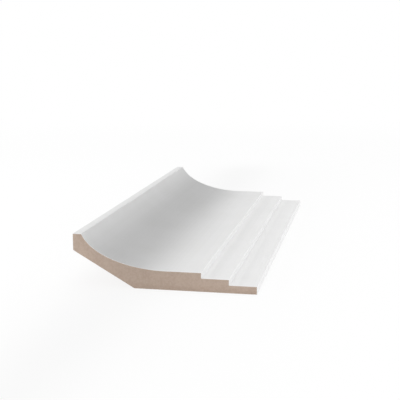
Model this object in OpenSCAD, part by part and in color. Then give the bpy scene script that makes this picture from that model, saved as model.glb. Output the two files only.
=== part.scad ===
// Cove crown moulding: one length of moulded MDF, lying on its flat back.
// The profile is drawn in the XZ plane and runs along Y. The origin is at the
// middle of the piece, at the level of the flat back.

/* [Overall] */
// Width of the profile, across the flat back
moulding_w = 133; // [110:1:170]
// Height of the ridge above the flat back
moulding_h = 38; // [32:0.5:46]
// Length of the piece, between its two square saw cuts
moulding_len = 340; // [100:5:2400]

/* [Ridge and back] */
// Width of the ridge's narrow flat top
ridge_w = 6.7; // [4:0.1:10]
// Height of the bearing edge behind the ridge, which fits against the wall or ceiling
bearing_edge_h = 12; // [8:0.5:16]
// Distance from the bearing edge to where the raked back meets the flat back
raked_back_w = 45; // [35:1:55]

/* [Cove] */
// Height of the cove ellipse's centre above the ridge: at 0 the cove starts upright
cove_centre_rise = 6.4; // [0:0.1:12]
// Width of the level stretch between the cove and the first riser
level_w = 25.3; // [15:0.1:35]

/* [Steps] */
// Number of steps down from the level stretch to the thin edge
step_count = 2; // [1:1:3]
// Width of each step's tread, the last of which tops the thin edge
tread_w = 19.7; // [15:0.1:24]
// Drop of each step
riser_h = 4; // [2:0.1:5]
// Thickness of the thin edge
thin_edge_h = 5.7; // [4:0.1:8]

/* [Arrises] */
// Radius to which the square outer corners of the face are eased
arris_r = 0.4; // [0.2:0.1:1.5]

/* [Hidden] */

// Places measured from the bearing edge, and heights above the flat back.
first_riser_x = moulding_w - step_count * tread_w;
cove_end_x = first_riser_x - level_w;
level_h = thin_edge_h + step_count * riser_h;
cove_centre_h = moulding_h + cove_centre_rise;
// The ellipse reaches down to the level stretch, and is as wide as it takes to
// meet the inner corner of the ridge's top.
cove_half_h = cove_centre_h - level_h;
ridge_sine = cove_centre_rise / cove_half_h;
cove_half_w = (cove_end_x - ridge_w) / sqrt(1 - ridge_sine * ridge_sine);
// The cutters reach this far past the faces that they trim.
overcut = 1;

function riser_x(i) = first_riser_x + i * tread_w;
function tread_h(i) = level_h - i * riser_h;

// The blank before the cove is cut: full height over the cove, then level and
// stepped down to the thin edge.
module blank() {
    polygon([
        [raked_back_w, 0],
        [0, moulding_h - bearing_edge_h],
        [0, moulding_h],
        [cove_end_x, moulding_h],
        [cove_end_x, level_h],
        for (i = [0 : step_count - 1]) each [
            [riser_x(i), tread_h(i)],
            [riser_x(i), tread_h(i + 1)]
        ],
        [moulding_w, thin_edge_h],
        [moulding_w, 0]
    ]);
}

// The cove's ellipse, whose lowest point runs level into the flat stretch.
module cove_cutter() {
    translate([cove_end_x, cove_centre_h])
        scale([cove_half_w, cove_half_h])
            circle(r = 1, $fn = 180);
}

// Eases one square outer corner: facing is 1 for a corner towards +X, -1 for -X.
module arris_cutter(x, h, facing) {
    translate([x, h])
        scale([facing, 1])
            difference() {
                translate([-arris_r, -arris_r])
                    square(arris_r + overcut);
                translate([-arris_r, -arris_r])
                    circle(r = arris_r, $fn = 48);
                translate([-arris_r - overcut, -arris_r])
                    square([overcut, arris_r]);
            }
}

module profile() {
    difference() {
        blank();
        cove_cutter();
        arris_cutter(0, moulding_h, -1);
        for (i = [0 : step_count]) arris_cutter(riser_x(i), tread_h(i), 1);
    }
}

module crown_moulding() {
    color([0.90, 0.90, 0.90])
        translate([-moulding_w / 2, moulding_len / 2, 0])
            rotate([90, 0, 0])
                linear_extrude(height = moulding_len)
                    profile();
}

crown_moulding();
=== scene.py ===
"""Cove crown moulding: one primed length, lying on its flat back on a white studio floor.

The profile is a closed outline in the XZ plane, carried along Y between two saw cuts.
Everything is in metres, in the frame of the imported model.
"""

import math

import bpy
import numpy as np
from bpy.props import FloatProperty, FloatVectorProperty, IntProperty, PointerProperty
from mathutils import Matrix, Vector


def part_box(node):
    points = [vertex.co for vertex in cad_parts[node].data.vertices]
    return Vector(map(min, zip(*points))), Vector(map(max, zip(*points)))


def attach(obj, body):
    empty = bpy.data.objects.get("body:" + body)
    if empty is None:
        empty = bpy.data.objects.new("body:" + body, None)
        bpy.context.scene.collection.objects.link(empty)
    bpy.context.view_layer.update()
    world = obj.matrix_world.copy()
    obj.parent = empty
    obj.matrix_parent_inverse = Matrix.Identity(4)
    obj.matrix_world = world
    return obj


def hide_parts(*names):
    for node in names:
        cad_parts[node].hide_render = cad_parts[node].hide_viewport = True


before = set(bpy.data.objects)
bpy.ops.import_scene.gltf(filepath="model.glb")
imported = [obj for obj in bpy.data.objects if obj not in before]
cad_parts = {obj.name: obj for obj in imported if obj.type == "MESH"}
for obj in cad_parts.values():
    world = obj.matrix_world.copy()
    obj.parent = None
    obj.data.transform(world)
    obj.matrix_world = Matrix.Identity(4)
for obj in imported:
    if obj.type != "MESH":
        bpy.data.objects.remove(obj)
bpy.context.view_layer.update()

bl_info = {
    "name": "Cove crown moulding",
    "version": (1, 0, 0),
    "blender": (4, 5, 0),
    "location": "View3D > Sidebar > Moulding",
    "description": "Builds a length of primed MDF crown moulding and the studio around it",
    "category": "Add Mesh",
}

NODE = "crown_moulding"
PIECE = "moulding_length"
LOW, HIGH = (np.array(corner, dtype=float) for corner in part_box(NODE))
WIDTH, LENGTH, HEIGHT = HIGH - LOW
CENTRE = (LOW + HIGH) / 2
MM = 0.001

# Points along one easing arc, rows of faces between back and face on a saw cut, points along
# the cove, and stations between the two rims.
ARC_PARTS = 6
CUT_ROWS = 10
COVE_POINTS = 110
BODY_STATIONS = 70

# The piece's material slots, in the order in which its faces number them.
PRIMED = 0
SAWN = 1
SANDED = 2


# ---------------------------------------------------------------- sizes and finishes


def length_prop(name, description, default, least=0.0):
    """A size in metres, shown in the scene's length unit."""
    return FloatProperty(
        name=name, description=description, default=default, min=least, unit="LENGTH", precision=5
    )


def colour_prop(name, description, default):
    """A linear colour."""
    return FloatVectorProperty(
        name=name, description=description, default=default, size=3, min=0.0, max=1.0, subtype="COLOR"
    )


def share_prop(name, description, default):
    """A number from 0 to 1."""
    return FloatProperty(
        name=name, description=description, default=default, min=0.0, max=1.0, subtype="FACTOR"
    )


def angle_prop(name, description, degrees):
    """An angle, written here in degrees."""
    return FloatProperty(
        name=name, description=description, default=math.radians(degrees), subtype="ANGLE"
    )


def level_prop(name, description, default):
    """A lamp's power in watts, or a brightness."""
    return FloatProperty(name=name, description=description, default=default, min=0.0)


class MouldingSizes(bpy.types.PropertyGroup):
    """Sizes of the profile and of its easings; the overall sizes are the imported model's."""

    ridge_w: length_prop("Ridge", "Width of the ridge's flat top", 6.7 * MM)
    bearing_edge_h: length_prop("Bearing edge", "Height of the upright edge behind the ridge", 12.0 * MM)
    raked_back_w: length_prop("Raked back", "Distance from the bearing edge to the flat back", 45.0 * MM)
    cove_rise: length_prop("Cove centre", "Height of the cove ellipse's centre above the ridge", 6.4 * MM)
    level_w: length_prop("Level stretch", "Width between the cove and the first riser", 25.3 * MM)
    tread_w: length_prop("Tread", "Width of each step", 19.7 * MM)
    riser_h: length_prop("Riser", "Drop of each step", 4.0 * MM)
    thin_edge_h: length_prop("Thin edge", "Thickness under the last tread", 5.7 * MM)
    step_count: IntProperty(
        name="Steps", description="Steps down from the level stretch", default=2, min=1, max=3
    )
    arris_r: length_prop("Arris", "Easing of the primed outer corners", 0.4 * MM)
    nook_r: length_prop("Nook", "Rounding that primer leaves in the inner corners", 0.3 * MM)
    back_r: length_prop("Back corners", "Easing where the primed edges meet the back", 0.35 * MM)
    film_t: length_prop("Primer film", "Thickness of the primer, seen at the saw cuts", 0.14 * MM)
    saw_ease: length_prop("Saw cut", "Easing of the rim of each saw cut", 0.1 * MM)


class MouldingFinish(bpy.types.PropertyGroup):
    """Colours and surface of the primer and of the bare board."""

    primer: colour_prop("Primer", "White primer", (0.80, 0.80, 0.80))
    primer_thin: colour_prop("Thin primer", "Primer where the coat is thinner", (0.775, 0.775, 0.77))
    primer_roughness: share_prop("Primer roughness", "Middle roughness of the primer", 0.58)
    board: colour_prop("Board", "Bare board at the saw cuts", (0.476, 0.379, 0.314))
    board_dark: colour_prop("Dark fibre", "Dark fibres of the board", (0.30, 0.215, 0.16))
    board_pale: colour_prop("Pale fibre", "Pale fibres of the board", (0.60, 0.50, 0.42))
    board_back: colour_prop("Sanded board", "Bare board on the sanded back", (0.40, 0.30, 0.225))
    board_roughness: share_prop("Board roughness", "Middle roughness of the bare board", 0.86)
    fibre: length_prop("Fibre", "Length of a typical fibre", 0.9 * MM)


class StudioSettings(bpy.types.PropertyGroup):
    """Camera, lamps and floor."""

    azimuth: angle_prop("Azimuth", "Camera's turn from the front towards the thin edge", 11.24)
    elevation: angle_prop("Elevation", "Camera's height above the level", 10.25)
    roll: angle_prop("Roll", "Camera's turn about its own axis", -0.12)
    distance: length_prop("Distance", "From the camera to the point it looks at", 0.7982)
    aim_x: length_prop("Aim X", "Aim across, from the middle of the piece", -7.5 * MM, least=-1.0)
    aim_z: length_prop("Aim Z", "Aim upwards, from the middle of the piece", 15.0 * MM, least=-1.0)
    lens: FloatProperty(
        name="Lens", description="Focal length on a 36 mm sensor", default=81.38, subtype="DISTANCE_CAMERA"
    )
    ambient: level_prop("Ambient", "Brightness of the room", 0.84)
    overhead: level_prop("Overhead lamp", "Power of the long lamp above the cove", 1.6)
    front: level_prop("Front lamp", "Power of the soft lamp in front, on the ridge's side", 3.6)
    ridge: level_prop("Ridge lamp", "Power of the soft lamp on the ridge's side", 3.4)
    side: level_prop("Side lamp", "Power of the low lamp on the thin edge's side", 1.1)
    card_w: length_prop("Card", "Width of the card that shades the cove from the overhead lamp", 44.0 * MM)
    card_height: length_prop("Card height", "Height of the card above the floor", 60.0 * MM)
    card_x: length_prop("Card place", "From the bearing edge to the middle of the card", 36.0 * MM)
    floor: colour_prop("Floor", "Floor around the piece", (0.9, 0.9, 0.9))
    floor_lift: share_prop("Floor lift", "How far the floor near the piece shows as plain white", 0.85)
    floor_fade: length_prop("Floor fade", "Distance at which the floor shows as plain white", 1.2)


# ---------------------------------------------------------------- profile and surface


def unit(vectors):
    """Each vector divided by its own length; a vector without length stays as it is."""
    lengths = np.linalg.norm(vectors, axis=-1, keepdims=True)
    return vectors / np.where(lengths > 1e-12, lengths, 1.0)


def straight(start, end, margin, pitch):
    """Points on the line from start to end, evenly spaced about pitch apart.

    The first and last lie margin in from the two corners, which holds the line straight there.
    """
    start, end = np.array(start), np.array(end)
    span = np.linalg.norm(end - start)
    count = max(2, round((span - 2 * margin) / pitch) + 1)
    share = np.linspace(margin / span, 1 - margin / span, count)[:, None]
    return start + share * (end - start)


def cove_points(sizes, margin, count):
    """The cove: x = end - a sin(t), z = centre - b cos(t).

    b reaches from the ellipse's centre down to the level stretch, and a is the half width at
    which the ellipse passes through the ridge's inner corner. t falls from that corner to 0.
    """
    level = sizes.thin_edge_h + sizes.step_count * sizes.riser_h
    end = WIDTH - sizes.step_count * sizes.tread_w - sizes.level_w
    centre = HEIGHT + sizes.cove_rise
    b = centre - level
    top = math.acos(sizes.cove_rise / b)
    a = (end - sizes.ridge_w) / math.sin(top)
    slant = math.hypot(a * math.cos(top), b * math.sin(top))
    t = np.linspace(top - margin / slant, 0.0, count)
    return np.column_stack([end - a * np.sin(t), centre - b * np.cos(t)])


def face_corners(sizes):
    """The primed side's points and easing radii, from just under the bearing edge, over the
    ridge, the cove and the steps, to just under the thin edge. x runs from the bearing edge.
    """
    margin = 1.6 * max(sizes.arris_r, sizes.nook_r, sizes.back_r)
    pitch = 2.5 * MM
    points = []
    radii = []

    def add(chain, radius=0.0):
        chain = np.atleast_2d(chain)
        points.append(chain)
        radii.append(np.full(len(chain), radius))

    heel = np.array([0.0, HEIGHT - sizes.bearing_edge_h])
    rake = unit(np.array([sizes.raked_back_w, -heel[1]]))
    crest = np.array([0.0, HEIGHT])
    lip = np.array([sizes.ridge_w, HEIGHT])
    add(heel + 2 * margin * rake)
    add(heel, sizes.back_r)
    add(straight(heel, crest, margin, pitch))
    add(crest, sizes.arris_r)
    add(straight(crest, lip, margin, pitch))
    add(lip, sizes.arris_r)
    cove = cove_points(sizes, margin, COVE_POINTS)
    add(cove)
    here = cove[-1]
    for step in range(sizes.step_count):
        edge = np.array([WIDTH - (sizes.step_count - step) * sizes.tread_w, here[1]])
        foot = edge - [0.0, sizes.riser_h]
        first = straight(here, edge, margin, pitch)
        add(first[1:] if step == 0 else first)
        add(edge, sizes.arris_r)
        add(straight(edge, foot, margin, pitch))
        add(foot, sizes.nook_r)
        here = foot
    edge = np.array([WIDTH, here[1]])
    toe = np.array([WIDTH, 0.0])
    add(straight(here, edge, margin, pitch))
    add(edge, sizes.arris_r)
    add(straight(edge, toe, margin, pitch))
    add(toe, sizes.back_r)
    add(toe - [2 * margin, 0.0])
    return np.concatenate(points), np.concatenate(radii)


def ease(points, radii, parts):
    """Each corner with a radius becomes an arc of that radius, tangent to both of its sides.

    The arc's centre lies radius / sin(h) along the bisector, h being half the corner's angle,
    and the arc turns from one side's normal to the other's in equal parts.
    """
    before = unit(np.roll(points, 1, axis=0) - points)
    after = unit(np.roll(points, -1, axis=0) - points)
    round_off = radii > 0
    half = np.arccos(np.clip((before * after).sum(axis=1), -1, 1)) / 2
    half = np.where(round_off, half, math.pi / 4)
    centres = points + unit(before + after) * (radii / np.sin(half))[:, None]
    reach = (radii / np.tan(half))[:, None]
    first = unit(points + before * reach - centres)
    last = unit(points + after * reach - centres)
    turn = (math.pi - 2 * half)[:, None, None]
    share = np.linspace(0, 1, parts + 1)[None, :, None]
    spoke = np.sin((1 - share) * turn) * first[:, None] + np.sin(share * turn) * last[:, None]
    arcs = centres[:, None] + radii[:, None, None] * spoke / np.sin(turn)
    arcs = np.where(round_off[:, None, None], arcs, points[:, None])
    kept = round_off[:, None] | (np.arange(parts + 1) == 0)
    return arcs[kept]


def back_points(sizes, face):
    """A point on the raked or flat back for each point of the face, in the same order.

    The share of the way across is the face's length so far, with heights counted at a tenth,
    and z is the raked back's height there, or 0 past its foot. One point lands on the foot.
    """
    step = np.abs(np.diff(face, axis=0)) @ [1.0, 0.1]
    share = np.concatenate([[0.0], np.cumsum(step)]) / step.sum()
    x = face[0, 0] + share * (face[-1, 0] - face[0, 0])
    x[np.argmin(np.abs(x - sizes.raked_back_w))] = sizes.raked_back_w
    heel = HEIGHT - sizes.bearing_edge_h
    z = np.maximum(heel * (1 - x / sizes.raked_back_w), 0.0)
    z[x >= sizes.raked_back_w] = 0.0
    return np.column_stack([x, z])


def outward(ring):
    """The outward normal at each point of a closed outline that runs clockwise in XZ: the mean
    of the two sides' directions, turned a quarter turn to the left.
    """
    along = unit(np.roll(ring, -1, axis=0) - ring)
    mean = unit(along + np.roll(along, 1, axis=0))
    lean = np.clip((mean * along).sum(axis=1, keepdims=True), 0.5, 1)
    return np.column_stack([-mean[:, 1], mean[:, 0]]) / lean


def stations(sizes):
    """Places along Y and the inset of the outline at each, from one saw cut to the other.

    The film's ring lies in the plane of the cut, then the rim turns a quarter circle: inset =
    e (1 - sin t), y = e (1 - cos t). Between the rims the stations are evenly spaced.
    """
    e = sizes.saw_ease
    t = np.linspace(0, math.pi / 2, 4)
    rim_y = np.concatenate([[0.0], e * (1 - np.cos(t)), [4 * e]])
    rim_inset = np.concatenate([[e + sizes.film_t], e * (1 - np.sin(t)), [0.0]])
    between = np.linspace(4 * e, LENGTH - 4 * e, BODY_STATIONS)[1:-1]
    y = np.concatenate([rim_y, between, LENGTH - rim_y[::-1]])
    inset = np.concatenate([rim_inset, np.zeros(len(between)), rim_inset[::-1]])
    return y, inset


def swept_quads(ring_count, station_count):
    """Quads of the sweep: point i of station j has number j * ring_count + i."""
    i, j = np.meshgrid(np.arange(ring_count), np.arange(station_count - 1))
    i, j = i.ravel(), j.ravel()
    near, far = j * ring_count, (j + 1) * ring_count
    after = (i + 1) % ring_count
    return np.column_stack([near + i, near + after, far + after, far + i]), i, j


def cap_grid(face_count, ring_count, first_ring, first_inner, rows):
    """Numbers of a cut's points: rows from the back up to the face, columns across.

    The first and last columns are single points, where the back meets the face.
    """
    table = np.empty((rows + 1, face_count), dtype=int)
    column = np.arange(face_count)
    table[rows] = first_ring + column
    table[0] = first_ring + (ring_count - column) % ring_count
    table[0, -1] = first_ring + face_count - 1
    inner = np.arange((rows - 1) * (face_count - 2)).reshape(rows - 1, -1)
    table[1:rows, 1:-1] = first_inner + inner
    table[1:rows, 0] = table[rows, 0]
    table[1:rows, -1] = table[rows, -1]
    return table


def cap_faces(table, turned):
    """Quads between the columns, and triangles beside the first and the last column."""
    a, b, c, d = table[:-1, :-1], table[:-1, 1:], table[1:, 1:], table[1:, :-1]
    quads = np.stack([a, b, c, d], axis=-1)[:, 1:-1].reshape(-1, 4)
    left = np.stack([a, b, c], axis=-1)[:, 0]
    right = np.stack([a, b, d], axis=-1)[:, -1]
    triangles = np.concatenate([left, right])
    if turned:
        return quads[:, ::-1], triangles[:, ::-1]
    return quads, triangles


def moulding_surface(sizes):
    """The whole closed surface: the outline carried along Y, and a ruled grid on each cut."""
    points, radii = face_corners(sizes)
    face = ease(points, radii, ARC_PARTS)
    back = back_points(sizes, face)
    ring = np.concatenate([face, back[-2:0:-1]])
    normal = outward(ring)
    y, inset = stations(sizes)
    layers = ring[None] - inset[:, None, None] * normal[None]
    xyz = np.empty((len(y), len(ring), 3))
    xyz[..., 0] = layers[..., 0] + LOW[0]
    xyz[..., 1] = y[:, None] + LOW[1]
    xyz[..., 2] = layers[..., 1] + LOW[2]

    rise = (np.arange(1, CUT_ROWS) / CUT_ROWS)[:, None, None]
    partner = (len(ring) - np.arange(len(face))) % len(ring)
    cut_face = xyz[0, : len(face)]
    cut_back = xyz[0, partner]
    inner = (cut_back + rise * (cut_face - cut_back))[:, 1:-1].reshape(-1, 3)
    far_inner = inner * [1, 0, 1] + [0, HIGH[1], 0]
    vertices = np.concatenate([xyz.reshape(-1, 3), inner, far_inner])

    quads, across, along = swept_quads(len(ring), len(y))
    first_inner = xyz.size // 3
    near = cap_grid(len(face), len(ring), 0, first_inner, CUT_ROWS)
    last_ring = (len(y) - 1) * len(ring)
    far = cap_grid(len(face), len(ring), last_ring, first_inner + len(inner), CUT_ROWS)
    near_quads, near_triangles = cap_faces(near, turned=False)
    far_quads, far_triangles = cap_faces(far, turned=True)
    cuts = (near_quads, far_quads, near_triangles, far_triangles)

    # The primer ends halfway round the two back corners.
    sides = np.linalg.norm(np.diff(ring, axis=0, append=ring[:1]), axis=1)
    run = np.concatenate([[0.0], np.cumsum(sides)])
    primed = (across > ARC_PARTS // 2) & (across < len(face) - 2 - ARC_PARTS // 2)
    flat = (along == 0) | (along == len(y) - 2)
    sweep_material = np.where(primed, PRIMED, np.where(flat, SAWN, SANDED))
    cut_count = sum(len(part) for part in cuts)

    faces = quads.tolist()
    for part in cuts:
        faces += part.tolist()
    material = np.concatenate([sweep_material, np.full(cut_count, SAWN)])
    smooth = np.concatenate([~flat, np.zeros(cut_count, dtype=bool)])

    # Run round the outline and place along the length on the sweep, x and z on the cuts.
    corner_run = run[across[:, None] + [0, 1, 1, 0]]
    corner_y = y[along[:, None] + [0, 0, 1, 1]]
    sweep_uv = np.stack([corner_run, corner_y], axis=-1).reshape(-1, 2)
    cut_corners = np.concatenate([part.ravel() for part in cuts])
    uv = np.concatenate([sweep_uv, vertices[cut_corners][:, [0, 2]]])

    # How far a point of the back lies from the nearer primed edge.
    from_edge = np.minimum(run[:-1] - run[len(face) - 1], run[-1] - run[:-1])
    from_edge = np.where(np.arange(len(ring)) < len(face), 0.0, from_edge)
    reach = np.concatenate([np.tile(from_edge, len(y)), np.full(2 * len(inner), 1.0)])
    return vertices, faces, material, smooth, uv, reach


def build_piece(sizes):
    """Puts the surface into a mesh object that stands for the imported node."""
    vertices, faces, material, smooth, uv, reach = moulding_surface(sizes)
    mesh = bpy.data.meshes.new(PIECE)
    mesh.from_pydata(vertices.tolist(), [], faces)
    mesh.polygons.foreach_set("material_index", material.astype(np.int32))
    mesh.polygons.foreach_set("use_smooth", smooth)
    mesh.uv_layers.new(name="surface").uv.foreach_set("vector", uv.astype(np.float32).ravel())
    from_primer = mesh.attributes.new("from_primer", "FLOAT", "POINT")
    from_primer.data.foreach_set("value", reach.astype(np.float32))
    mesh.validate()
    mesh.update()
    piece = bpy.data.objects.new(PIECE, mesh)
    bpy.context.scene.collection.objects.link(piece)
    return piece


# ---------------------------------------------------------------- shader node helpers


def node(tree, kind, x, y, inputs=None, **settings):
    """A node at (x, y), with its settings and with the plain values of its inputs."""
    made = tree.nodes.new(kind)
    made.location = (x, y)
    for name, value in settings.items():
        setattr(made, name, value)
    for name, value in (inputs or {}).items():
        made.inputs[name].default_value = value
    return made


def wire(tree, source, target):
    """Joins an output socket to an input socket."""
    tree.links.new(source, target)


def maths(tree, operation, x, y, first, second=None):
    """A Math node; each operand is a socket or a number. Returns its output."""
    made = node(tree, "ShaderNodeMath", x, y, operation=operation)
    for slot, operand in enumerate((first, second)):
        if operand is None:
            continue
        if isinstance(operand, bpy.types.NodeSocket):
            wire(tree, operand, made.inputs[slot])
        else:
            made.inputs[slot].default_value = operand
    return made.outputs[0]


def blend_colours(tree, x, y, share, first, second):
    """A colour mix by share; first and second are sockets or linear colours. Returns its output."""
    made = node(tree, "ShaderNodeMix", x, y, data_type="RGBA")
    wire(tree, share, made.inputs["Factor"])
    for slot, colour in ((6, first), (7, second)):
        if isinstance(colour, bpy.types.NodeSocket):
            wire(tree, colour, made.inputs[slot])
        else:
            made.inputs[slot].default_value = (*colour, 1.0)
    return made.outputs[2]


def ramp(tree, x, y, value, low, high, out_low=0.0, out_high=1.0):
    """A smooth map of value from (low, high) to (out_low, out_high). Returns its output."""
    made = node(tree, "ShaderNodeMapRange", x, y, interpolation_type="SMOOTHSTEP")
    wire(tree, value, made.inputs["Value"])
    made.inputs["From Min"].default_value = low
    made.inputs["From Max"].default_value = high
    made.inputs["To Min"].default_value = out_low
    made.inputs["To Max"].default_value = out_high
    return made.outputs["Result"]


def divided(tree, x, y, vector, size):
    """A Vector Math node that divides vector by size, a socket. Returns its output."""
    made = node(tree, "ShaderNodeVectorMath", x, y, operation="SCALE")
    wire(tree, vector, made.inputs[0])
    wire(tree, maths(tree, "DIVIDE", x - 200, y, 1.0, size), made.inputs["Scale"])
    return made.outputs[0]


def new_group(name, inputs, outputs):
    """An empty shader group with float or vector inputs (name: default) and float outputs."""
    group = bpy.data.node_groups.new(name, "ShaderNodeTree")
    for label, default in inputs.items():
        kind = "NodeSocketVector" if default is None else "NodeSocketFloat"
        socket = group.interface.new_socket(name=label, in_out="INPUT", socket_type=kind)
        if default is not None:
            socket.default_value = default
    for label in outputs:
        group.interface.new_socket(name=label, in_out="OUTPUT", socket_type="NodeSocketFloat")
    given = group.nodes.new("NodeGroupInput").outputs
    return group, given, group.nodes.new("NodeGroupOutput").inputs


def place_group(tree, group, x, y, inputs=None, **linked):
    """A group node, with plain values and with linked sockets. Returns its outputs."""
    made = node(tree, "ShaderNodeGroup", x, y, node_tree=group)
    for name, value in (inputs or {}).items():
        made.inputs[name].default_value = value
    for name, socket in linked.items():
        wire(tree, socket, made.inputs[name])
    return made.outputs


# ---------------------------------------------------------------- shared surface effects


def fibre_group():
    """Wood fibres of the board: noise drawn out across the board and flat through its thickness.

    Pale and Dark are the tips and the troughs of two such noises; Height is their mean.
    """
    group, given, out = new_group(
        "Fibres", {"Vector": None, "Length": 0.9 * MM}, ["Pale", "Dark", "Height"]
    )
    scaled = divided(group, -700, 0, given["Vector"], given["Length"])
    laid = ((0, (0.0, 0.0, 0.0), (1.0, 1.0, 2.6)), (-300, (17.0, 5.0, 9.0), (1.5, 1.5, 4.0)))
    noises = []
    for y, shift, squeeze in laid:
        flat = node(group, "ShaderNodeMapping", -500, y, {"Location": shift, "Scale": squeeze})
        wire(group, scaled, flat.inputs["Vector"])
        noise = node(group, "ShaderNodeTexNoise", -300, y, {"Scale": 1.0, "Detail": 3.0})
        noise.inputs["Roughness"].default_value = 0.62
        noise.inputs["Distortion"].default_value = 0.7
        wire(group, flat.outputs["Vector"], noise.inputs["Vector"])
        noises.append(noise.outputs["Fac"])
    wire(group, ramp(group, -100, 100, noises[0], 0.56, 0.78), out["Pale"])
    wire(group, ramp(group, -100, -200, noises[1], 0.44, 0.24), out["Dark"])
    halves = [maths(group, "MULTIPLY", -200, -450, noise, 0.5) for noise in noises]
    wire(group, maths(group, "ADD", -100, -450, *halves), out["Height"])
    return group


def streak_group():
    """Lines that a cutter, a wiper or a sander leaves along the length: noise that is fine
    across the surface and hundreds of times longer along it.
    """
    group, given, out = new_group(
        "Lengthwise streaks", {"Vector": None, "Pitch": 1.0 * MM, "Stretch": 0.004}, ["Streak"]
    )
    parts = node(group, "ShaderNodeSeparateXYZ", -350, 0)
    wire(group, divided(group, -500, 0, given["Vector"], given["Pitch"]), parts.inputs[0])
    joined = node(group, "ShaderNodeCombineXYZ", -50, 0)
    wire(group, parts.outputs["X"], joined.inputs["X"])
    drawn_out = maths(group, "MULTIPLY", -200, -150, parts.outputs["Y"], given["Stretch"])
    wire(group, drawn_out, joined.inputs["Y"])
    noise = node(group, "ShaderNodeTexNoise", 100, 0, {"Scale": 1.0, "Detail": 2.0, "Roughness": 0.55})
    wire(group, joined.outputs[0], noise.inputs["Vector"])
    wire(group, noise.outputs["Fac"], out["Streak"])
    return group


def mottle_group():
    """Soft cloudiness of one size, from 0 to 1."""
    group, given, out = new_group("Mottle", {"Vector": None, "Size": 20.0 * MM}, ["Mottle"])
    noise = node(group, "ShaderNodeTexNoise", -100, 0, {"Scale": 1.0, "Detail": 3.0, "Roughness": 0.5})
    wire(group, divided(group, -300, 0, given["Vector"], given["Size"]), noise.inputs["Vector"])
    wire(group, ramp(group, 100, 0, noise.outputs["Fac"], 0.3, 0.7), out["Mottle"])
    return group


def new_material(name, roughness):
    """A material with one Principled shader. Returns its tree and that shader."""
    material = bpy.data.materials.new(name)
    material.use_nodes = True
    tree = material.node_tree
    shader = tree.nodes["Principled BSDF"]
    shader.inputs["Roughness"].default_value = roughness
    shader.inputs["IOR"].default_value = 1.45
    return material, tree, shader


def add_bump(tree, x, y, height, depth, under=None):
    """A Bump node whose height of 0 to 1 is depth metres. Returns its normal."""
    made = node(tree, "ShaderNodeBump", x, y, {"Strength": 1.0, "Distance": depth})
    wire(tree, height, made.inputs["Height"])
    if under is not None:
        wire(tree, under, made.inputs["Normal"])
    return made.outputs["Normal"]


def place_effects(tree, groups, effects):
    """Places groups in a material: effects gives each one's group, its output or None for all,
    what its pattern lies on, and its plain values. Returns one socket or all sockets of each.
    """
    made = []
    for row, (group, output, lies_on, values) in enumerate(effects):
        sockets = place_group(tree, groups[group], -1300, 200 - 220 * row, values, Vector=lies_on)
        made.append(sockets[output] if output else sockets)
    return made


def add_relief(tree, layers):
    """Bump nodes one over the other, each from a height and a depth in metres. Returns the
    normal of the last.
    """
    normal = None
    for row, (height, depth) in enumerate(layers):
        normal = add_bump(tree, -700 + 200 * row, -700, height, depth, normal)
    return normal


def board_colour(tree, finish, ground, fibres, specks, pale_share, dark_share, shade):
    """Board of the ground colour with pale and dark fibres of two sizes, darkened by shade."""
    both_pale = maths(tree, "ADD", -1100, 300, fibres["Pale"], specks["Pale"])
    both_dark = maths(tree, "ADD", -1100, 100, fibres["Dark"], specks["Dark"])
    pale = maths(tree, "MULTIPLY", -1000, 300, both_pale, pale_share)
    dark = maths(tree, "MULTIPLY", -1000, 100, both_dark, dark_share)
    colour = blend_colours(tree, -800, 300, pale, ground, finish.board_pale)
    colour = blend_colours(tree, -600, 300, dark, colour, finish.board_dark)
    return blend_colours(tree, -400, 300, shade, colour, finish.board_dark)


# ---------------------------------------------------------------- the three finishes


def primer_material(finish, groups):
    """White primer: slightly cloudy, with wiper streaks along the length, the fine grain of a
    rolled coat, and a trace of the board's fibres under it.
    """
    material, tree, shader = new_material("White primer", finish.primer_roughness)
    place = node(tree, "ShaderNodeTexCoord", -1700, 0).outputs["Object"]
    run = node(tree, "ShaderNodeUVMap", -1700, -300, uv_map="surface").outputs["UV"]
    cloud, fine, streak, fibres = place_effects(
        tree,
        groups,
        (
            ("mottle", "Mottle", place, {"Size": 28.0 * MM}),
            ("mottle", "Mottle", place, {"Size": 1.1 * MM}),
            ("streak", "Streak", run, {"Pitch": 1.6 * MM, "Stretch": 0.004}),
            ("fibre", None, place, {"Length": 1.3 * MM}),
        ),
    )

    uneven = maths(tree, "MULTIPLY", -900, 200, cloud, 0.45)
    streaked = maths(tree, "MULTIPLY", -900, 50, ramp(tree, -1000, 50, streak, 0.35, 0.7), 0.35)
    grain = maths(tree, "MULTIPLY", -900, -100, fibres["Dark"], 0.2)
    worn = maths(tree, "ADD", -800, 150, uneven, streaked)
    thin = maths(tree, "ADD", -700, 100, worn, grain)
    colour = blend_colours(tree, -500, 200, thin, finish.primer, finish.primer_thin)
    wire(tree, colour, shader.inputs["Base Color"])

    level = finish.primer_roughness
    rough = ramp(tree, -500, -50, worn, 0.0, 0.8, level - 0.05, level + 0.07)
    wire(tree, rough, shader.inputs["Roughness"])

    layers = ((fine, 0.006 * MM), (streak, 0.008 * MM), (fibres["Height"], 0.010 * MM))
    wire(tree, add_relief(tree, layers), shader.inputs["Normal"])
    return material


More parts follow.
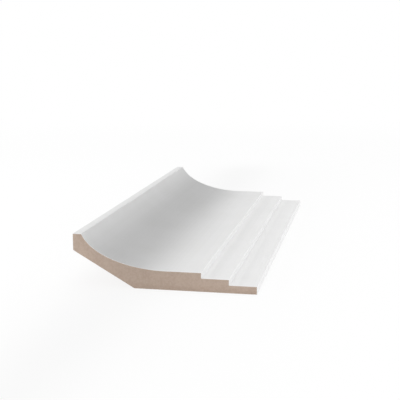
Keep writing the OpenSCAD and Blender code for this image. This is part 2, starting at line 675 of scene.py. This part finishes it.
def sawn_material(finish, groups):
    """Board at the saw cuts: pale and dark fibres, denser and darker towards the board's two
    skins, and the faint arcs of the blade.
    """
    material, tree, shader = new_material("Sawn board", finish.board_roughness)
    place = node(tree, "ShaderNodeTexCoord", -1700, 0).outputs["Object"]
    fibres, specks, cloud, grain = place_effects(
        tree,
        groups,
        (
            ("fibre", None, place, {"Length": finish.fibre}),
            ("fibre", None, place, {"Length": finish.fibre * 0.38}),
            ("mottle", "Mottle", place, {"Size": 9.0 * MM}),
            ("mottle", "Mottle", place, {"Size": 1.5 * MM}),
        ),
    )

    height = node(tree, "ShaderNodeSeparateXYZ", -1300, -700)
    wire(tree, place, height.inputs[0])
    from_middle = maths(tree, "SUBTRACT", -1150, -500, height.outputs["Z"], float(CENTRE[2]))
    out_of_core = maths(tree, "ABSOLUTE", -1000, -500, from_middle)
    skin = ramp(tree, -850, -500, out_of_core, 0.36 * HEIGHT, 0.5 * HEIGHT, 0.0, 0.14)
    shade = maths(tree, "ADD", -700, -400, skin, maths(tree, "MULTIPLY", -850, -300, cloud, 0.10))
    shade = maths(tree, "ADD", -550, -400, shade, maths(tree, "MULTIPLY", -700, -300, grain, 0.24))
    colour = board_colour(tree, finish, finish.board, fibres, specks, 0.42, 0.40, shade)
    wire(tree, colour, shader.inputs["Base Color"])

    # The blade's teeth leave arcs about its hub, which lies below the piece.
    hub = (CENTRE[0] + 30.0 * MM, LOW[1], LOW[2] - 120.0 * MM)
    tooth_pitch = 1.3 * MM
    from_hub = node(tree, "ShaderNodeVectorMath", -1300, -900, operation="DISTANCE")
    wire(tree, place, from_hub.inputs[0])
    from_hub.inputs[1].default_value = hub
    tooth = maths(tree, "MULTIPLY", -1100, -900, from_hub.outputs["Value"], 2 * math.pi / tooth_pitch)
    drift = maths(tree, "MULTIPLY", -1100, -1050, cloud, 5.0)
    arcs = maths(tree, "SINE", -900, -900, maths(tree, "ADD", -1000, -900, tooth, drift))
    layers = ((arcs, 0.012 * MM), (fibres["Height"], 0.10 * MM), (specks["Height"], 0.05 * MM))
    wire(tree, add_relief(tree, layers), shader.inputs["Normal"])
    level = finish.board_roughness
    rough = ramp(tree, -400, -100, specks["Height"], 0.35, 0.65, level - 0.06, level + 0.09)
    wire(tree, rough, shader.inputs["Roughness"])
    return material


def sanded_material(finish, groups):
    """Sanded back of the board: denser skin with flat fibres in all directions, sander lines
    along the length, and a ragged edge of primer mist beside the primed edges.
    """
    material, tree, shader = new_material("Sanded board", finish.board_roughness)
    place = node(tree, "ShaderNodeTexCoord", -1700, 0).outputs["Object"]
    run = node(tree, "ShaderNodeUVMap", -1700, -300, uv_map="surface").outputs["UV"]
    fibres, specks, cloud, ragged, streak = place_effects(
        tree,
        groups,
        (
            ("fibre", None, place, {"Length": finish.fibre * 1.6}),
            ("fibre", None, place, {"Length": finish.fibre * 0.5}),
            ("mottle", "Mottle", place, {"Size": 30.0 * MM}),
            ("mottle", "Mottle", place, {"Size": 4.0 * MM}),
            ("streak", "Streak", run, {"Pitch": 0.9 * MM, "Stretch": 0.006}),
        ),
    )

    lines = maths(tree, "MULTIPLY", -1000, -100, ramp(tree, -1100, -100, streak, 0.4, 0.72), 0.12)
    shade = maths(tree, "ADD", -850, -100, lines, maths(tree, "MULTIPLY", -1000, -250, cloud, 0.14))
    colour = board_colour(tree, finish, finish.board_back, fibres, specks, 0.28, 0.34, shade)

    from_primer = node(tree, "ShaderNodeAttribute", -1300, -1000, attribute_name="from_primer")
    waver = maths(tree, "MULTIPLY", -1150, -800, ragged, 1.6 * MM)
    edge = maths(tree, "SUBTRACT", -1000, -700, from_primer.outputs["Fac"], waver)
    mist = ramp(tree, -800, -700, edge, 1.4 * MM, -0.4 * MM)
    colour = blend_colours(tree, -200, 300, mist, colour, finish.primer_thin)
    wire(tree, colour, shader.inputs["Base Color"])
    level = finish.board_roughness
    rough = ramp(tree, -400, -100, fibres["Height"], 0.35, 0.65, level - 0.20, level - 0.02)
    wire(tree, rough, shader.inputs["Roughness"])
    layers = ((streak, 0.010 * MM), (fibres["Height"], 0.02 * MM))
    wire(tree, add_relief(tree, layers), shader.inputs["Normal"])
    return material


# ---------------------------------------------------------------- studio


# Each lamp's place, the point it faces, and its width and height, in metres.
LAMPS = {
    "overhead": ((-0.03, 0.0, 0.9), (-0.03, 0.0, 0.0), (0.5, 1.2)),
    "front": ((-0.5, -1.1, 0.3), (0.0, LOW[1], LOW[2] + 0.02), (0.8, 0.5)),
    "ridge": ((-1.2, 0.0, 0.56), (0.0, 0.0, LOW[2] + 0.02), (1.2, 0.5)),
    "side": ((0.6, 0.0, 0.06), (0.0, 0.0, LOW[2] + 0.012), (1.2, 0.08)),
}
FLOOR_HALF = 12.0
FLOOR_GAP = 0.05 * MM
SENSOR_W = 36.0


def level_sheet(name, middle_x, half_x, half_y, z):
    """A level rectangle of the studio, facing up, with its middle at middle_x, 0, z."""
    turns = np.array([[-1.0, -1.0, 0.0], [1.0, -1.0, 0.0], [1.0, 1.0, 0.0], [-1.0, 1.0, 0.0]])
    corners = turns * [half_x, half_y, 0.0] + [middle_x, 0.0, z]
    mesh = bpy.data.meshes.new(name)
    mesh.from_pydata(corners.tolist(), [], [[0, 1, 2, 3]])
    sheet = bpy.data.objects.new(name, mesh)
    bpy.context.scene.collection.objects.link(sheet)
    return sheet


def studio_floor(studio):
    """A wide plain floor. To the camera and in reflections it is lifted towards white, more so
    away from the piece, and the rest of it still darkens in the piece's shadow.
    """
    floor = level_sheet("studio_floor", 0.0, FLOOR_HALF, FLOOR_HALF, LOW[2] - FLOOR_GAP)
    material = bpy.data.materials.new("Studio floor")
    material.use_nodes = True
    tree = material.node_tree
    tree.nodes.clear()
    out = node(tree, "ShaderNodeOutputMaterial", 600, 0)
    plain = node(tree, "ShaderNodeBsdfDiffuse", 0, 0, {"Color": (*studio.floor, 1.0)})
    white = node(tree, "ShaderNodeEmission", 0, -200, {"Color": (1.0, 1.0, 1.0, 1.0), "Strength": 1.0})
    place = node(tree, "ShaderNodeTexCoord", -900, 400).outputs["Object"]
    far = node(tree, "ShaderNodeVectorMath", -700, 400, operation="LENGTH")
    wire(tree, place, far.inputs[0])
    fade = studio.floor_fade
    white_share = ramp(tree, -500, 400, far.outputs["Value"], 0.4 * fade, fade, studio.floor_lift, 1.0)
    lift = maths(tree, "MULTIPLY", 0, 200, seen_directly(tree, -400, 200), white_share)
    mix = node(tree, "ShaderNodeMixShader", 300, 0)
    wire(tree, lift, mix.inputs["Fac"])
    wire(tree, plain.outputs[0], mix.inputs[1])
    wire(tree, white.outputs[0], mix.inputs[2])
    wire(tree, mix.outputs[0], out.inputs["Surface"])
    floor.data.materials.append(material)


def seen_directly(tree, x, y):
    """1 for camera, glossy and transmission rays, 0 for the rest."""
    rays = node(tree, "ShaderNodeLightPath", x, y).outputs
    mirrored = maths(tree, "MAXIMUM", x + 200, y, rays["Is Glossy Ray"], rays["Is Transmission Ray"])
    return maths(tree, "MAXIMUM", x + 350, y, rays["Is Camera Ray"], mirrored)


def studio_world(studio):
    """Even light from all round; to the camera and in reflections the room is plain white."""
    world = bpy.data.worlds.new("Studio")
    bpy.context.scene.world = world
    world.use_nodes = True
    tree = world.node_tree
    tree.nodes.clear()
    out = node(tree, "ShaderNodeOutputWorld", 800, 0)
    light = node(tree, "ShaderNodeBackground", 600, 0, {"Color": (1.0, 1.0, 1.0, 1.0)})
    level = node(tree, "ShaderNodeMapRange", 400, 0, {"To Min": studio.ambient, "To Max": 1.0})
    wire(tree, seen_directly(tree, -200, 0), level.inputs["Value"])
    wire(tree, level.outputs["Result"], light.inputs["Strength"])
    wire(tree, light.outputs[0], out.inputs["Surface"])


def direction(azimuth, elevation):
    """Unit vector towards an azimuth (0 is the front, -Y; a quarter turn is the thin edge, +X)
    and an elevation above the level.
    """
    level = math.cos(elevation)
    return Vector((math.sin(azimuth) * level, -math.cos(azimuth) * level, math.sin(elevation)))


def aimed_at(place, target, roll=0.0):
    """The matrix of a lamp or camera at place that looks at target, turned by roll."""
    turn = (Vector(target) - Vector(place)).to_track_quat("-Z", "Y").to_matrix().to_4x4()
    return Matrix.Translation(place) @ turn @ Matrix.Rotation(roll, 4, "Z")


def soft_lamp(name, place, target, size, power):
    """A rectangular area lamp at place, facing target and hidden from the camera.

    size is its width and its height as it faces target; a lamp that faces straight down has its
    width along X and its height along Y.
    """
    light = bpy.data.lights.new(name, "AREA")
    light.shape = "RECTANGLE"
    light.size, light.size_y = size
    light.energy = power
    lamp = bpy.data.objects.new(name, light)
    lamp.matrix_world = aimed_at(place, target)
    lamp.visible_camera = False
    bpy.context.scene.collection.objects.link(lamp)


def shade_card(studio):
    """A narrow dark card above the cove, along the whole piece, that keeps the overhead lamp
    off the cove's bottom and leaves the ridge and the steps in full light.
    """
    middle_x = LOW[0] + studio.card_x
    card = level_sheet(
        "shade_card", middle_x, studio.card_w / 2, 1.3 * LENGTH, LOW[2] + studio.card_height
    )
    material = bpy.data.materials.new("Black card")
    material.use_nodes = True
    shader = material.node_tree.nodes["Principled BSDF"]
    shader.inputs["Base Color"].default_value = (0.02, 0.02, 0.02, 1.0)
    card.data.materials.append(material)
    card.visible_camera = False
    card.visible_glossy = False


def studio_camera(studio):
    """The camera, at its distance from a point a little above the middle of the piece."""
    target = Vector(CENTRE) + Vector((studio.aim_x, 0.0, studio.aim_z))
    place = target + studio.distance * direction(studio.azimuth, studio.elevation)
    data = bpy.data.cameras.new("camera")
    data.lens = studio.lens
    data.sensor_width = SENSOR_W
    data.clip_start = 0.02
    data.clip_end = 60.0
    camera = bpy.data.objects.new("camera", data)
    camera.matrix_world = aimed_at(place, target, studio.roll)
    bpy.context.scene.collection.objects.link(camera)
    bpy.context.scene.camera = camera


# ---------------------------------------------------------------- operators and panel


class MOULDING_OT_length(bpy.types.Operator):
    """Builds the length of moulding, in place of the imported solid."""

    bl_idname = "moulding.length"
    bl_label = "Length of moulding"

    def execute(self, context):
        finish = context.scene.moulding_finish
        piece = build_piece(context.scene.moulding_sizes)
        groups = {"fibre": fibre_group(), "streak": streak_group(), "mottle": mottle_group()}
        for make in (primer_material, sawn_material, sanded_material):
            piece.data.materials.append(make(finish, groups))
        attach(piece, "root")
        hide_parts(NODE)
        return {"FINISHED"}


class MOULDING_OT_studio(bpy.types.Operator):
    """Sets the floor, the room's light, the lamps and the camera."""

    bl_idname = "moulding.studio"
    bl_label = "Studio"

    def execute(self, context):
        studio = context.scene.moulding_studio
        studio_floor(studio)
        studio_world(studio)
        shade_card(studio)
        for name, (place, target, size) in LAMPS.items():
            soft_lamp(name, place, target, size, getattr(studio, name))
        studio_camera(studio)
        context.scene.view_settings.view_transform = "Standard"
        return {"FINISHED"}


class MOULDING_PT_panel(bpy.types.Panel):
    """Lists the operators and their settings in the sidebar."""

    bl_idname = "MOULDING_PT_panel"
    bl_label = "Crown moulding"
    bl_space_type = "VIEW_3D"
    bl_region_type = "UI"
    bl_category = "Moulding"

    def draw(self, context):
        for operator, settings in (
            (MOULDING_OT_length, (context.scene.moulding_sizes, context.scene.moulding_finish)),
            (MOULDING_OT_studio, (context.scene.moulding_studio,)),
        ):
            box = self.layout.box()
            box.operator(operator.bl_idname)
            for group in settings:
                for name in group.__annotations__:
                    box.prop(group, name)


CLASSES = (
    MouldingSizes,
    MouldingFinish,
    StudioSettings,
    MOULDING_OT_length,
    MOULDING_OT_studio,
    MOULDING_PT_panel,
)


def register():
    """Registers the classes and the scene's three groups of settings."""
    for cls in CLASSES:
        bpy.utils.register_class(cls)
    bpy.types.Scene.moulding_sizes = PointerProperty(type=MouldingSizes)
    bpy.types.Scene.moulding_finish = PointerProperty(type=MouldingFinish)
    bpy.types.Scene.moulding_studio = PointerProperty(type=StudioSettings)


def unregister():
    """Undoes register."""
    del bpy.types.Scene.moulding_studio
    del bpy.types.Scene.moulding_finish
    del bpy.types.Scene.moulding_sizes
    for cls in reversed(CLASSES):
        bpy.utils.unregister_class(cls)


def plain(box):
    """A box as plain lists of numbers."""
    return [[float(value) for value in corner] for corner in box]


def main():
    """Builds the piece and the studio."""
    register()
    bpy.ops.moulding.length()
    bpy.ops.moulding.studio()


if __name__ == "__main__":
    main()
